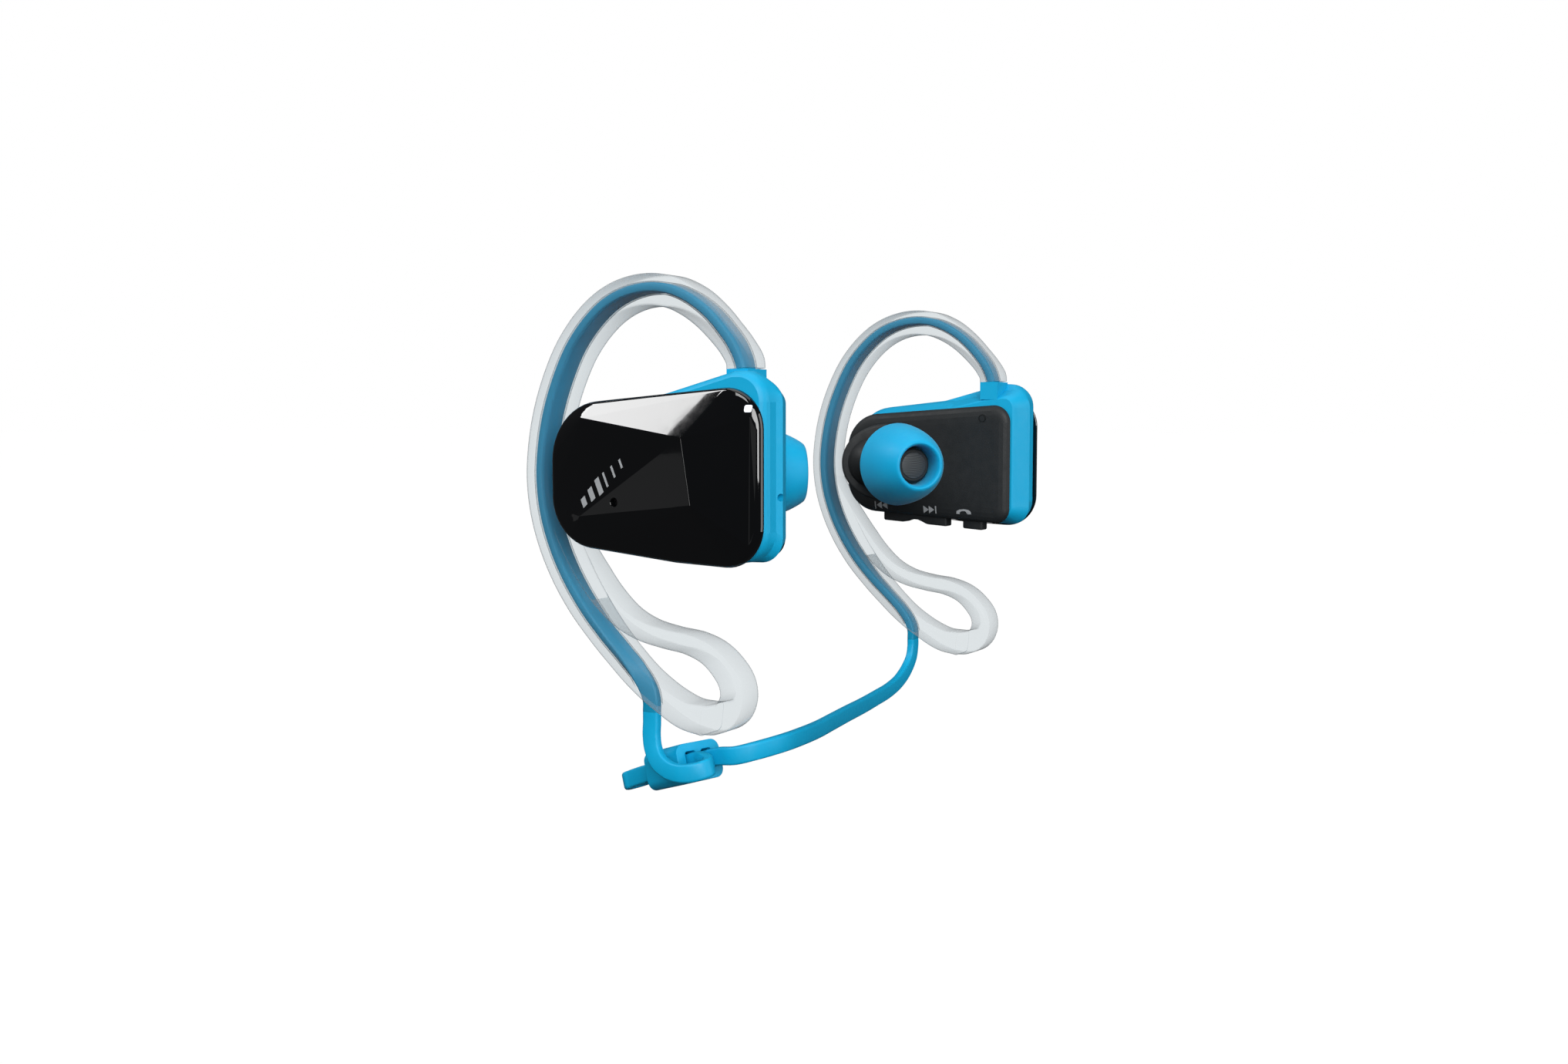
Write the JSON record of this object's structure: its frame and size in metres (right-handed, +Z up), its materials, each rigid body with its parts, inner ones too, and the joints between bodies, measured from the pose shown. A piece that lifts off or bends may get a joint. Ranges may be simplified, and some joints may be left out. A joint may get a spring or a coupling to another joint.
{
  "type": "neckband earphones",
  "caption": "Wireless neckband earphones: two faceted earpieces with angled silicone tips on clear looped ear hooks, joined by a flat strap threaded through a two-slot adjuster.",
  "frame": {"origin": "midway between the mouths of the two ear tips", "axes": "+X towards the wearer's left ear, +Y backwards, +Z up; the earpieces mirror each other about X = 0"},
  "size_m": [0.0988, 0.0412, 0.0729],
  "materials": {
    "blue_housing": "satin",
    "blue_cable": "satin",
    "blue_silicone": "satin",
    "gloss_black": "polished",
    "matte_black": "matte",
    "clear_tpu": "clear, glossy",
    "nozzle_mesh": "dark woven mesh",
    "steel": "brushed",
    "diaphragm_film": "thin film",
    "circuit_board": "solder mask",
    "battery_foil": "pouch foil",
    "light_pipe": "translucent"
  },
  "bodies": {
    "body": {"ear_hook_left": "clear_tpu", "hook_cable_left": "blue_cable", "frame_left": "blue_housing", "inner_shell_left": "matte_black", "outer_cover_left": "gloss_black", "nozzle_mesh_left": "nozzle_mesh", "driver_left": "steel", "diaphragm_left": "diaphragm_film", "circuit_board_left": "circuit_board", "battery_left": "battery_foil", "ear_hook_right": "clear_tpu", "hook_cable_right": "blue_cable", "frame_right": "blue_housing", "inner_shell_right": "matte_black", "outer_cover_right": "gloss_black", "nozzle_mesh_right": "nozzle_mesh", "driver_right": "steel", "diaphragm_right": "diaphragm_film", "circuit_board_right": "circuit_board", "battery_right": "battery_foil", "antenna": "steel", "key_board": "circuit_board", "switch_prev": "steel", "switch_next": "steel", "switch_call": "steel", "charging_port": "steel", "microphone": "steel", "light_pipe": "light_pipe", "neck_strap": "blue_cable"},
    "track_rocker": {"track_rocker": "matte_black"},
    "call_button": {"call_button": "matte_black"},
    "port_flap": {"port_flap": "matte_black"},
    "ear_tip_left": {"ear_tip_left": "blue_silicone"},
    "ear_tip_right": {"ear_tip_right": "blue_silicone"},
    "adjuster": {"adjuster": "blue_cable"}
  },
  "joints": [
    {"name": "track_rocker_tilt", "type": "hinge", "parent": "body", "child": "track_rocker", "pos_m": [0.0397, 0.0097, -0.0086], "axis": [1, 0, 0], "range_deg": [-3, 3], "stiffness_Nm_per_rad": 0.05},
    {"name": "call_button_press", "type": "slide", "parent": "body", "child": "call_button", "axis": [0, 0, 1], "range_m": [0, 0.0004], "stiffness_N_per_m": 1000},
    {"name": "port_flap_open", "type": "hinge", "parent": "body", "child": "port_flap", "pos_m": [-0.0397, 0.0124, -0.00949], "axis": [1, 0, 0], "range_deg": [0, 75]},
    {"name": "ear_tip_left_pull", "type": "slide", "parent": "body", "child": "ear_tip_left", "axis": [-0.6428, -0.766, 0], "range_m": [0, 0.009]},
    {"name": "ear_tip_right_pull", "type": "slide", "parent": "body", "child": "ear_tip_right", "axis": [0.6428, -0.766, 0], "range_m": [0, 0.009]},
    {"name": "adjuster_slide", "type": "slide", "parent": "body", "child": "adjuster", "axis": [0.2621, 0.9142, -0.309], "range_m": [0, 0.006]}
  ]
}
